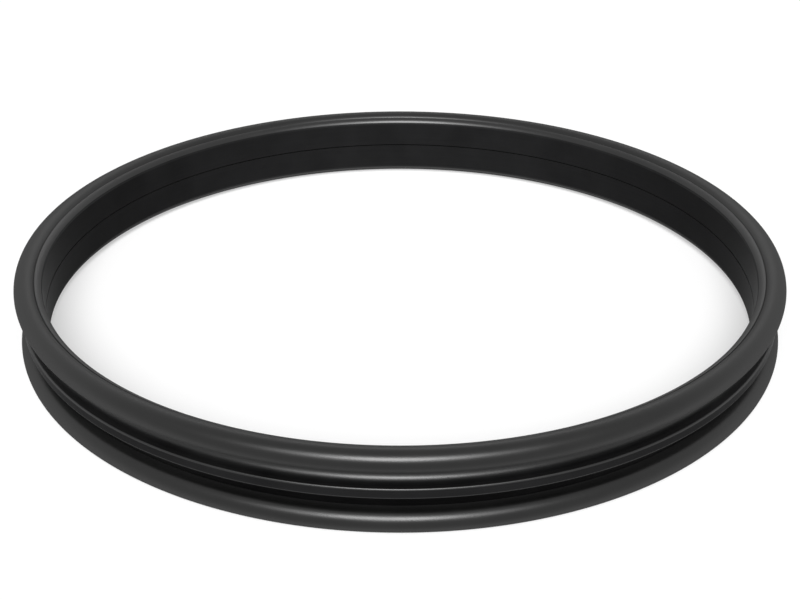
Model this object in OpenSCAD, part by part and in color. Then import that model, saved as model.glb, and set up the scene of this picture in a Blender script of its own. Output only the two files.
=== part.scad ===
// Dual cone face seal: two like seal rings that run face to face, each carried on its
// cone by a rubber ring of round section, the toric ring.
// The origin is the centre of the bore, in the plane of the sealing faces, and +Z is the
// axis. The upper half is drawn, and the lower half is its mirror image.
// Sizes are in millimetres.

/* [Seal ring] */
// Diameter of the bore of both seal rings
bore_d = 430; // [300:1:700]
// Height of the straight bore wall, from the sealing plane to the tail's rounding
bore_h = 15.9; // [15:0.1:20]
// Radial width from the bore to the rim of the flange
flange_w = 13.1; // [12:0.1:17]
// Thickness of the flange at its rim
flange_t = 3; // [2:0.1:4.5]
// Slope of the cone under the toric ring, in degrees from the axis
cone_angle = 15; // [10:1:20]
// Radius of the fillet between the cone and the back of the flange
root_r = 5; // [2:0.1:5.4]
// Rounding of the rim where it meets the back of the flange
rim_round = 1; // [0.3:0.1:1.5]

/* [Tail and toric seat] */
// Radius of the tail, which rounds over from the bore wall to the retaining lip
tail_round = 5.2; // [4.4:0.1:6]
// Rounding of the retaining lip's edge, where the tail meets the toric seat
lip_round = 0.4; // [0.3:0.1:0.6]
// Wall between the bore and the deepest point of the toric seat
seat_wall = 3.3; // [2.6:0.1:4.4]
// Height of the toric ring's centre above the start of the tail's rounding
toric_rise = 1.2; // [0:0.1:2]

/* [Sealing face] */
// Radial width of the flat lapped band at the rim
band_w = 5; // [3:0.5:8]
// Slope of the relief from the lapped band in to the bore, in degrees
relief_angle = 3; // [1:0.5:4]

/* [Toric ring] */
// Section diameter of the toric ring
toric_d = 12.7; // [11:0.1:14]
// Clearance between the toric ring and its seat
seat_gap = 0.05; // [0.02:0.01:0.1]

/* [Hidden] */
$fn = 240;

// Both sections are drawn with x measured outward from the bore wall, and y along the axis
bore_r = bore_d / 2;

// Inner edge of the lapped band, and the gap that the relief opens at the bore
band_x = flange_w - band_w;
relief_h = band_x * tan(relief_angle);

// Centre of the toric ring's section, and the seat that is concentric with it
seat_r = toric_d / 2 + seat_gap;
toric_at = [seat_wall + seat_r, bore_h + toric_rise];

// Outward normal of the cone, and the point where the cone runs into the seat
cone_normal = [cos(cone_angle), sin(cone_angle)];
seat_foot = toric_at - seat_r * cone_normal;

// Place of the cone's surface at height z
function cone_x(z) = seat_foot.x + (seat_foot.y - z) * tan(cone_angle);

// How far faces that would only touch are laid into one another, so that they cross cleanly
bite = 0.002;

// Centre of the root fillet, one radius off the cone and off the back of the flange
root_z = flange_t + root_r;
root_x = cone_x(root_z) + root_r / cos(cone_angle);
root_top = [root_x, root_z] - root_r * cone_normal;

// Top of the tail's rounding
crown = bore_h + tail_round;

// Centre of the lip's rounding, which touches the tail from inside and the seat from
// outside. It is the corner of a triangle on the tail's centre and the seat's centre.
tail_at = [tail_round, bore_h];
tail_side = tail_round - lip_round + bite;
seat_side = seat_r + lip_round - bite;
span = norm(toric_at - tail_at);
lip_turn = atan2(toric_at.y - tail_at.y, toric_at.x - tail_at.x)
    + acos((tail_side ^ 2 + span ^ 2 - seat_side ^ 2) / (2 * tail_side * span));
lip_at = tail_at + tail_side * [cos(lip_turn), sin(lip_turn)];

// Colours of the two materials
iron_black = [0.16, 0.16, 0.17];
rubber_black = [0.12, 0.12, 0.12];

// Cutter that rounds a square corner at the point `at`. `into` holds the signs of the
// two directions that lead from the corner into the metal.
module rounding(at, into, r) {
    past = 0.2;
    corners = [[-past, -past], [r, -past], [r, r], [-past, r]];
    translate(at)
        difference() {
            polygon([for (c = corners) [c.x * into.x, c.y * into.y]]);
            translate(r * into) circle(r = r);
        }
}

// Section of the upper seal ring. The polygon spans the two hollows with straight
// edges, and the two circles cut the seat and the root fillet out of it.
module ring_section() {
    difference() {
        polygon([
            [0, relief_h],
            [band_x, 0],
            [flange_w, 0],
            [flange_w, flange_t],
            [root_x, flange_t],
            root_top + bite * cone_normal,
            seat_foot + bite * cone_normal,
            toric_at,
            [tail_round, crown],
            [0, crown]
        ]);
        translate(toric_at) circle(r = seat_r);
        translate([root_x, root_z]) circle(r = root_r);
        rounding([0, crown], [1, -1], tail_round);
        rounding([flange_w, flange_t], [-1, -1], rim_round);
        lip_rounding();
    }
}

// Cutter that rounds the sharp edge between the tail and the seat. It spans the angle
// between the lines from the lip's centre to the points where the rounding touches them.
module lip_rounding() {
    reach = 6 * lip_round;
    to_tail = reach * [cos(lip_turn), sin(lip_turn)];
    to_seat = reach * (toric_at - lip_at) / norm(toric_at - lip_at);
    translate(lip_at)
        difference() {
            polygon([[0, 0], to_tail, to_tail + to_seat, to_seat]);
            circle(r = lip_round);
        }
}

module seal_ring() {
    color(iron_black)
        rotate_extrude() translate([bore_r, 0]) ring_section();
}

module toric_ring() {
    color(rubber_black)
        translate([0, 0, toric_at.y])
            rotate_extrude() translate([bore_r + toric_at.x, 0]) circle(d = toric_d);
}

mirror([0, 0, 1]) seal_ring();  // lower_seal_ring
seal_ring();  // upper_seal_ring
mirror([0, 0, 1]) toric_ring();  // lower_toric_ring
toric_ring();  // upper_toric_ring
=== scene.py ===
import math

import bpy
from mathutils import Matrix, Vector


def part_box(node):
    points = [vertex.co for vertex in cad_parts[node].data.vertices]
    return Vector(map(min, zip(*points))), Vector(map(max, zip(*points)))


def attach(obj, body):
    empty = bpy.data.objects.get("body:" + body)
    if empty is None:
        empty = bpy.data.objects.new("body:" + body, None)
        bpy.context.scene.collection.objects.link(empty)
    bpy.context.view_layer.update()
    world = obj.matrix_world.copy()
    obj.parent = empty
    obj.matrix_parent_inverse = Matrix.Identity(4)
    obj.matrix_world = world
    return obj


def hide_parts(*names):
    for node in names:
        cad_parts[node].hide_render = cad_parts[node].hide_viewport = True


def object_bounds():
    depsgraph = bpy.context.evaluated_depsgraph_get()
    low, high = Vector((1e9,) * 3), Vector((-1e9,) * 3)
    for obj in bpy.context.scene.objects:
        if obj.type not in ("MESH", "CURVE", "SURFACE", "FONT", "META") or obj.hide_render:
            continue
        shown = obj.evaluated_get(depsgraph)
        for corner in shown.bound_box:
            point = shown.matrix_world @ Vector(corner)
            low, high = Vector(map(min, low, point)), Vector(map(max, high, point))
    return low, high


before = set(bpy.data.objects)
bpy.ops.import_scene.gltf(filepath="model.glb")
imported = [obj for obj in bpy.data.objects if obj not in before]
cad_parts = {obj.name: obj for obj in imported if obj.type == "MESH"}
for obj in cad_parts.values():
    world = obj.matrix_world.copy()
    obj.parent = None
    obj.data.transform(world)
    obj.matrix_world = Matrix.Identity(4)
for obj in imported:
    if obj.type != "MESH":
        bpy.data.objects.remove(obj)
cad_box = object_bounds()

MM = 0.001

# Sizes of the upper seal ring's section. x is measured outward from the bore wall, and
# z up from the plane where the sealing faces meet.
BORE_R = 215.0
BORE_H = 15.9
FLANGE_W = 13.1
FLANGE_T = 3.0
CONE_ANGLE = math.radians(15)
ROOT_R = 5.0
RIM_ROUND = 1.0
TAIL_ROUND = 5.2
LIP_ROUND = 0.4
SEAT_R = 6.4
SEAT_WALL = 3.3
TORIC_RISE = 1.2
BAND_W = 5.0
RELIEF_ANGLE = math.radians(3)

# Break on the sharp turned edges, and each ring's half of the oil film between the sealing
# faces, which keeps the rings from cutting into each other as they turn. Both are too
# small for the CAD model.
EDGE_BREAK = 0.05
HALF_FILM = 0.002

# Finishes of the seal ring, as the places of its four materials. The bore wall and the rim
# wall are duller than the rest. The bore's dull finish reaches a little way round the tail
# and passes through a half-dull stretch into the satin one. The lapped band is bare metal.
SATIN, HALF_DULL, DULL, LAPPED = 0, 1, 2, 3
DULL_TURN, HALF_DULL_TURN = math.radians(8), math.radians(24)

# Place of the rubber, which is the only material of a toric ring
RUBBER = 0

# Steps of a big arc, of a small arc, and of a straight edge or a very short arc
BIG, SMALL, SHORT = 20, 10, 4

# Steps round the axis, and sides of a toric ring's section
SEGMENTS = 480
TORIC_SIDES = 64

# Points of the section that are nearer than this are one point
SAME_POINT = 1e-4


def arc(centre, radius, start, end, steps, hollow=False):
    """Points of an arc with their outward normals. A hollow arc is seen from inside."""
    sign = -1 if hollow else 1
    points = []
    for i in range(steps + 1):
        turn = start + (end - start) * i / steps
        nx, nz = math.cos(turn), math.sin(turn)
        points.append((centre[0] + radius * nx, centre[1] + radius * nz, sign * nx, sign * nz))
    return points


def line(start, end):
    """Points of a straight edge. The metal is on its right-hand side."""
    dx, dz = end[0] - start[0], end[1] - start[1]
    length = math.hypot(dx, dz)
    shares = [i / SHORT for i in range(SHORT + 1)]
    return [(start[0] + dx * t, start[1] + dz * t, -dz / length, dx / length) for t in shares]


def edge_break(before, at, after):
    """Tiny arc that rounds the corner `at` between two straight edges of the section."""
    def unit(p):
        length = math.dist(p, at)
        return (p[0] - at[0]) / length, (p[1] - at[1]) / length

    u, v = unit(before), unit(after)
    half = math.acos(u[0] * v[0] + u[1] * v[1]) / 2
    middle = (u[0] + v[0], u[1] + v[1])
    reach = EDGE_BREAK / math.sin(half) / math.hypot(*middle)
    centre = (at[0] + middle[0] * reach, at[1] + middle[1] * reach)
    back = EDGE_BREAK / math.tan(half)
    start = math.atan2(at[1] + u[1] * back - centre[1], at[0] + u[0] * back - centre[0])
    return arc(centre, EDGE_BREAK, start, start - math.pi + 2 * half, SHORT)


def ring_section():
    """Section of the upper seal ring, clockwise from the bore: points, normals, finish."""
    band_x = FLANGE_W - BAND_W
    relief_h = band_x * math.tan(RELIEF_ANGLE)
    tail = (TAIL_ROUND, BORE_H)
    seat = (SEAT_WALL + SEAT_R, BORE_H + TORIC_RISE)

    # Lip rounding, which touches the tail from inside and the seat from outside
    span = math.dist(seat, tail)
    tail_side, seat_side = TAIL_ROUND - LIP_ROUND, SEAT_R + LIP_ROUND
    lip_turn = math.atan2(seat[1] - tail[1], seat[0] - tail[0]) + math.acos(
        (tail_side**2 + span**2 - seat_side**2) / (2 * tail_side * span)
    )
    lip = (tail[0] + tail_side * math.cos(lip_turn), tail[1] + tail_side * math.sin(lip_turn))
    lip_to_seat = math.atan2(seat[1] - lip[1], seat[0] - lip[0])

    # Cone between the seat and the root fillet
    normal = (math.cos(CONE_ANGLE), math.sin(CONE_ANGLE))
    foot = (seat[0] - SEAT_R * normal[0], seat[1] - SEAT_R * normal[1])
    root_z = FLANGE_T + ROOT_R
    root_x = foot[0] + (foot[1] - root_z) * math.tan(CONE_ANGLE) + ROOT_R / normal[0]
    root = (root_x, root_z)
    root_top = (root_x - ROOT_R * normal[0], root_z - ROOT_R * normal[1])

    # Corners of the face and the rim. An edge break ends within twice its own radius.
    clear = 2 * EDGE_BREAK
    bore_foot, bore_top = (0, relief_h), (0, BORE_H)
    band_in, face_out = (band_x, HALF_FILM), (FLANGE_W, HALF_FILM)
    face_in = (clear, relief_h - clear * math.tan(RELIEF_ANGLE))
    rim_foot, rim_top = (FLANGE_W, clear), (FLANGE_W, FLANGE_T - RIM_ROUND)
    rim = (FLANGE_W - RIM_ROUND, FLANGE_T - RIM_ROUND)

    # Directions, as angles of the outward normal
    inward, down, up, outward = math.pi, 1.5 * math.pi, math.pi / 2, 0
    cone = inward + CONE_ANGLE
    dull_end, half_dull_end = inward - DULL_TURN, inward - HALF_DULL_TURN

    stretches = (
        (DULL, edge_break(band_in, bore_foot, bore_top)),
        (DULL, line((0, relief_h + clear), bore_top)),
        (DULL, arc(tail, TAIL_ROUND, inward, dull_end, SHORT)),
        (HALF_DULL, arc(tail, TAIL_ROUND, dull_end, half_dull_end, SHORT)),
        (SATIN, arc(tail, TAIL_ROUND, half_dull_end, lip_turn, BIG)),
        (SATIN, arc(lip, LIP_ROUND, lip_turn, lip_to_seat, SMALL)),
        (SATIN, arc(seat, SEAT_R, lip_to_seat + math.pi, cone, BIG, hollow=True)),
        (SATIN, line(foot, root_top)),
        (SATIN, arc(root, ROOT_R, cone, down, BIG, hollow=True)),
        (SATIN, line((root_x, FLANGE_T), (rim[0], FLANGE_T))),
        (SATIN, arc(rim, RIM_ROUND, up, outward, SMALL)),
        (DULL, line(rim_top, rim_foot)),
        (DULL, edge_break(rim_top, face_out, band_in)),
        (LAPPED, line((FLANGE_W - clear, HALF_FILM), band_in)),
        (SATIN, line(band_in, face_in)),
    )
    points = [(*point, finish) for finish, stretch in stretches for point in stretch]
    ahead = points[1:] + points[:1]
    points = [p for p, q in zip(points, ahead) if math.dist(p[:2], q[:2]) > SAME_POINT]
    return [(BORE_R + x, z, nx, nz, finish) for x, z, nx, nz, finish in points]


def toric_section(node):
    """Round section of a toric ring as it lies in the upper half, clockwise like the seal
    ring's. It fills the box of its CAD node."""
    low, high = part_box(node)
    radius = (high.z - low.z) / 2 / MM
    outer = min(high.x, high.y, -low.x, -low.y) / MM
    centre = (outer - radius, abs(high.z + low.z) / 2 / MM)
    around = arc(centre, radius, math.pi, -math.pi, TORIC_SIDES)[:-1]
    return [(*point, RUBBER) for point in around]


def add_object(name, data):
    added = bpy.data.objects.new(name, data)
    bpy.context.scene.collection.objects.link(added)
    return added


def revolve(name, section, upper):
    """Closed solid of revolution about Z, with normals taken from its section. A piece of
    the lower half is mirrored in the plane where the faces meet."""
    side = 1 if upper else -1
    verts, normals, faces = [], [], []
    for step in range(SEGMENTS):
        turn = 2 * math.pi * step / SEGMENTS
        cos, sin = math.cos(turn), math.sin(turn)
        for r, z, nr, nz, _ in section:
            verts.append((r * cos * MM, r * sin * MM, side * z * MM))
            normals.append((nr * cos, nr * sin, side * nz))
    count = len(section)
    for step in range(SEGMENTS):
        here, there = step * count, (step + 1) % SEGMENTS * count
        for i in range(count):
            j = (i + 1) % count
            quad = (here + i, here + j, there + j, there + i)
            faces.append(quad if upper else quad[::-1])
    mesh = bpy.data.meshes.new(name)
    mesh.from_pydata(verts, [], faces)
    mesh.polygons.foreach_set("use_smooth", [True] * len(faces))
    mesh.polygons.foreach_set("material_index", [point[-1] for point in section] * SEGMENTS)
    mesh.update()
    mesh.normals_split_custom_set_from_vertices(normals)
    return add_object(name, mesh)


# Patterns of noise: features per metre, levels of finer detail, and the strength of each
# level against the one before
MOTTLE = (38.0, 4.0, 0.55)
GRAIN = (1900.0, 2.0, 0.5)
BLOOM = (26.0, 5.0, 0.6)
SKIN = (1500.0, 3.0, 0.5)
FLOOR_CLOUDS = (9.0, 3.0, 0.5)

# Turning marks of the iron: features per metre across them, and features per radius of the
# ring along them. Their place is scaled before the noise, so the noise's own scale is 1.
MARK_SCALE, AROUND_SCALE = 2600.0, 2.4
MARKS = (1.0, 2.0, 0.6)

# Share of the first pattern where two are mixed: for the iron's tone, the iron's bump and
# the rubber's tone
MOTTLE_SHARE, MARK_SHARE, BLOOM_SHARE = 0.6, 0.7, 0.75

# Tones of a pattern between which a value runs from end to end: narrow for a material's
# colour, and wide for its roughness and the floor's shade
NARROW, WIDE = (0.35, 0.65), (0.3, 0.7)

# How far a roughness strays from its middle
ROUGH_SPREAD = 0.03

# How far the iron and the rubber have turned from the viewer when their gloss starts to
# fade, and the strength and depth of their bump
IRON_MATT_FROM, RUBBER_MATT_FROM = 0.32, 0.22
IRON_BUMP, RUBBER_BUMP = (0.30, 0.00005), (0.35, 0.00008)

# Places of a Mix node's colours among its inputs and outputs, where others share their names
MIX_A, MIX_B, MIX_RESULT = 6, 7, 2

WHITE = (1, 1, 1, 1)


class Nodes:
    """Shorthand for building the node tree of a material or a world."""

    def __init__(self, owner, shader="Principled BSDF"):
        owner.use_nodes = True
        self.owner = owner
        self.tree = owner.node_tree
        self.shader = self.tree.nodes[shader]

    def add(self, kind, inputs=(), **settings):
        node = self.tree.nodes.new(kind)
        for key, value in settings.items():
            setattr(node, key, value)
        for key, value in dict(inputs).items():
            if isinstance(value, bpy.types.NodeSocket):
                self.tree.links.new(value, node.inputs[key])
            else:
                node.inputs[key].default_value = value
        return node

    def math(self, operation, a, b=0.0):
        return self.add("ShaderNodeMath", {0: a, 1: b}, operation=operation).outputs[0]

    def blend(self, a, b, share):
        """Mix of two values, with the given share of the first."""
        part, rest = self.math("MULTIPLY", a, share), self.math("MULTIPLY", b, 1 - share)
        return self.math("ADD", part, rest)

    def spread(self, value, low, high, out_low, out_high):
        """Maps low..high of a value to out_low..out_high, held at the ends."""
        ends = {"From Min": low, "From Max": high, "To Min": out_low, "To Max": out_high}
        return self.add("ShaderNodeMapRange", {"Value": value, **ends}).outputs["Result"]

    def noise(self, vector, pattern, w=None):
        inputs = dict(zip(("Scale", "Detail", "Roughness"), pattern), Vector=vector)
        kind = "3D"
        if w is not None:
            inputs["W"] = w
            kind = "4D"
        return self.add("ShaderNodeTexNoise", inputs, noise_dimensions=kind).outputs["Fac"]

    def tint(self, tone, dark, light):
        """Colour that runs from dark to light with the tone of a pattern."""
        share = self.spread(tone, *NARROW, 0, 1)
        inputs = {"Factor": share, MIX_A: (*dark, 1), MIX_B: (*light, 1)}
        return self.add("ShaderNodeMix", inputs, data_type="RGBA").outputs[MIX_RESULT]

    def satin(self, roughness, start):
        """Roughness that rises to 1 where the surface turns away, as on a matt skin."""
        facing = self.add("ShaderNodeLayerWeight").outputs["Facing"]
        turned = self.spread(facing, start, 1.0, 0.0, 1.0)
        rise = self.math("MULTIPLY", turned, self.math("SUBTRACT", 1.0, roughness))
        return self.math("ADD", roughness, rise)

    def coat(self, tone, dark, light, roughness, matt_from):
        """Gives the shader a colour and a roughness that follow the tone of a pattern."""
        self.link(self.tint(tone, dark, light), "Base Color")
        ends = roughness - ROUGH_SPREAD, roughness + ROUGH_SPREAD
        rough = self.spread(tone, *WIDE, *ends)
        self.link(rough if matt_from is None else self.satin(rough, matt_from), "Roughness")

    def bump(self, height, strength, distance):
        inputs = {"Height": height, "Strength": strength, "Distance": distance}
        self.link(self.add("ShaderNodeBump", inputs).outputs["Normal"], "Normal")

    def place(self):
        return self.add("ShaderNodeTexCoord").outputs["Object"]

    def seen(self):
        """1 for the camera and for rays that a surface mirrors or lets through, else 0."""
        path = self.add("ShaderNodeLightPath").outputs
        mirrored = self.math("MAXIMUM", path["Is Glossy Ray"], path["Is Transmission Ray"])
        return self.math("MAXIMUM", path["Is Camera Ray"], mirrored)

    def link(self, output, socket):
        self.tree.links.new(output, self.shader.inputs[socket])

    def set(self, socket, value):
        self.shader.inputs[socket].default_value = value


def turning_marks(n, place):
    """Marks round the axis, which change fast with radius and height and slowly round it."""
    x, y, z = n.add("ShaderNodeSeparateXYZ", {"Vector": place}).outputs
    squares = n.math("ADD", n.math("MULTIPLY", x, x), n.math("MULTIPLY", y, y))
    radius = n.math("SQRT", squares)
    along_x = n.math("MULTIPLY", n.math("DIVIDE", x, radius), AROUND_SCALE)
    along_y = n.math("MULTIPLY", n.math("DIVIDE", y, radius), AROUND_SCALE)
    out, high = n.math("MULTIPLY", radius, MARK_SCALE), n.math("MULTIPLY", z, MARK_SCALE)
    turned = n.add("ShaderNodeCombineXYZ", {"X": out, "Y": high, "Z": along_x}).outputs[0]
    return n.noise(turned, MARKS, w=along_y)


def iron_material(name, gloss, roughness, dark, light, matt_from=None, metallic=0.0):
    """Turned iron: fine marks round the axis over a faint mottling and a fine grain."""
    n = Nodes(bpy.data.materials.new(name))
    place = n.place()
    marks = turning_marks(n, place)
    tone = n.blend(n.noise(place, MOTTLE), marks, MOTTLE_SHARE)
    n.coat(tone, dark, light, roughness, matt_from)
    n.bump(n.blend(marks, n.noise(place, GRAIN), MARK_SHARE), *IRON_BUMP)
    n.set("Specular IOR Level", gloss)
    n.set("Metallic", metallic)
    return n.owner


def rubber_material(name, gloss, roughness, dark, light):
    """Moulded nitrile: an even satin skin with a very fine grain and a faint bloom."""
    n = Nodes(bpy.data.materials.new(name))
    place = n.place()
    skin = n.noise(place, SKIN)
    tone = n.blend(n.noise(place, BLOOM), skin, BLOOM_SHARE)
    n.coat(tone, dark, light, roughness, RUBBER_MATT_FROM)
    n.bump(skin, *RUBBER_BUMP)
    n.set("Specular IOR Level", gloss)
    return n.owner


# Materials of a seal ring, in the order of its finishes. The straight walls keep the dull
# black of their coating, and the rest of the black is a little glossier.
ring_materials = (
    iron_material(
        "seal_ring_iron", gloss=0.43, roughness=0.32,
        dark=(0.0020, 0.0020, 0.0021), light=(0.0044, 0.0044, 0.0045),
        matt_from=IRON_MATT_FROM,
    ),
    iron_material(
        "seal_ring_iron_half", gloss=0.14, roughness=0.36,
        dark=(0.0050, 0.0050, 0.0052), light=(0.0090, 0.0090, 0.0093),
        matt_from=IRON_MATT_FROM,
    ),
    iron_material(
        "seal_ring_iron_wall", gloss=0.009, roughness=0.42,
        dark=(0.0103, 0.0103, 0.0106), light=(0.0143, 0.0143, 0.0147),
    ),
    iron_material(
        "seal_ring_iron_lapped", gloss=0.5, roughness=0.14,
        dark=(0.42, 0.42, 0.41), light=(0.50, 0.50, 0.49), metallic=1.0,
    ),
)
toric_materials = (
    rubber_material(
        "toric_rubber", gloss=0.36, roughness=0.295,
        dark=(0.0016, 0.0016, 0.0016), light=(0.0036, 0.0036, 0.0035),
    ),
)


def add_half(half, upper):
    """Seal ring and toric ring of one half, each in the place of its CAD node."""
    ring_node, toric_node = half + "_seal_ring", half + "_toric_ring"
    ring = revolve("turned_" + ring_node, ring_section(), upper)
    toric = revolve("moulded_" + toric_node, toric_section(toric_node), upper)
    for piece, node, materials, slot in (
        (ring, ring_node, ring_materials, "seal_ring_iron"),
        (toric, toric_node, toric_materials, "toric_rubber"),
    ):
        for material in materials:
            piece.data.materials.append(material)
        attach(piece, half + "_half")
        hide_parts(node)


add_half("lower", upper=False)
add_half("upper", upper=True)

# Floor, which touches the lower toric ring. The camera and the reflections see it a
# little lighter than its own shade, so that it reads as white and keeps the shadow.
FLOOR_HALF = 6.0
FLOOR_ALBEDO = 0.50
FLOOR_LIFT = 0.50
FLOOR_SHADES = (0.99, 1.0)
FLOOR_ROUGHNESS = 0.9


def add_floor():
    z = cad_box[0][2]
    sides = ((-1, -1), (1, -1), (1, 1), (-1, 1))
    mesh = bpy.data.meshes.new("floor")
    mesh.from_pydata([(x * FLOOR_HALF, y * FLOOR_HALF, z) for x, y in sides], [], [(0, 1, 2, 3)])

    n = Nodes(bpy.data.materials.new("pale_floor"))
    shade = n.spread(n.noise(n.place(), FLOOR_CLOUDS), *WIDE, *FLOOR_SHADES)
    n.link(n.math("MULTIPLY", shade, FLOOR_ALBEDO), "Base Color")
    n.set("Roughness", FLOOR_ROUGHNESS)
    n.set("Specular IOR Level", 0.0)
    n.set("Emission Color", WHITE)
    n.link(n.math("MULTIPLY", n.seen(), FLOOR_LIFT), "Emission Strength")
    n.owner.cycles.emission_sampling = "NONE"
    mesh.materials.append(n.owner)
    add_object("floor", mesh)


add_floor()

# World: soft even light, seen as white by the camera and in reflections
AMBIENT = 0.05

world = bpy.data.worlds.new("studio")
bpy.context.scene.world = world
sky = Nodes(world, "Background")
sky.set("Color", WHITE)
sky.link(sky.spread(sky.seen(), 0.0, 1.0, AMBIENT, 1.0), "Strength")

# Soft lamps above the camera: the key lamp for the bright line along each rounding, one on
# each side that draws this line out round the ring, and a wide one for the glow beside it.
# A weak lamp behind the seal lights the inner edges of its front. Each lamp has its energy,
# and in degrees its own width, its height, and its turn about Z.
for name, energy, width, height, turn in (
    ("key", 3.25, 27, 40.5, -2),
    ("left", 0.52, 28, 43, -25),
    ("right", 0.52, 28, 43, 21),
    ("fill", 0.55, 51, 40.5, -2),
    ("behind", 0.20, 20, 20.5, 178),
):
    lamp = bpy.data.lights.new(name, "SUN")
    lamp.energy = energy
    lamp.angle = math.radians(width)
    add_object(name, lamp).rotation_euler = (math.radians(90 - height), 0, math.radians(turn))

# Camera: placed by fitting the photo's outlines and the line where the faces meet. Its lens
# and sensor are in millimetres.
CAMERA_AT = (0, -0.70127, 0.35954)
CAMERA_TILT = math.radians(28.447)
LENS, SENSOR_WIDTH = 56.687, 36.0

camera_data = bpy.data.cameras.new("camera")
camera_data.sensor_width = SENSOR_WIDTH
camera_data.lens = LENS
camera = add_object("camera", camera_data)
camera.location = CAMERA_AT
camera.rotation_euler = (math.pi / 2 - CAMERA_TILT, 0, 0)
bpy.context.scene.camera = camera
bpy.context.scene.view_settings.view_transform = "Standard"

bpy.context.view_layer.update()
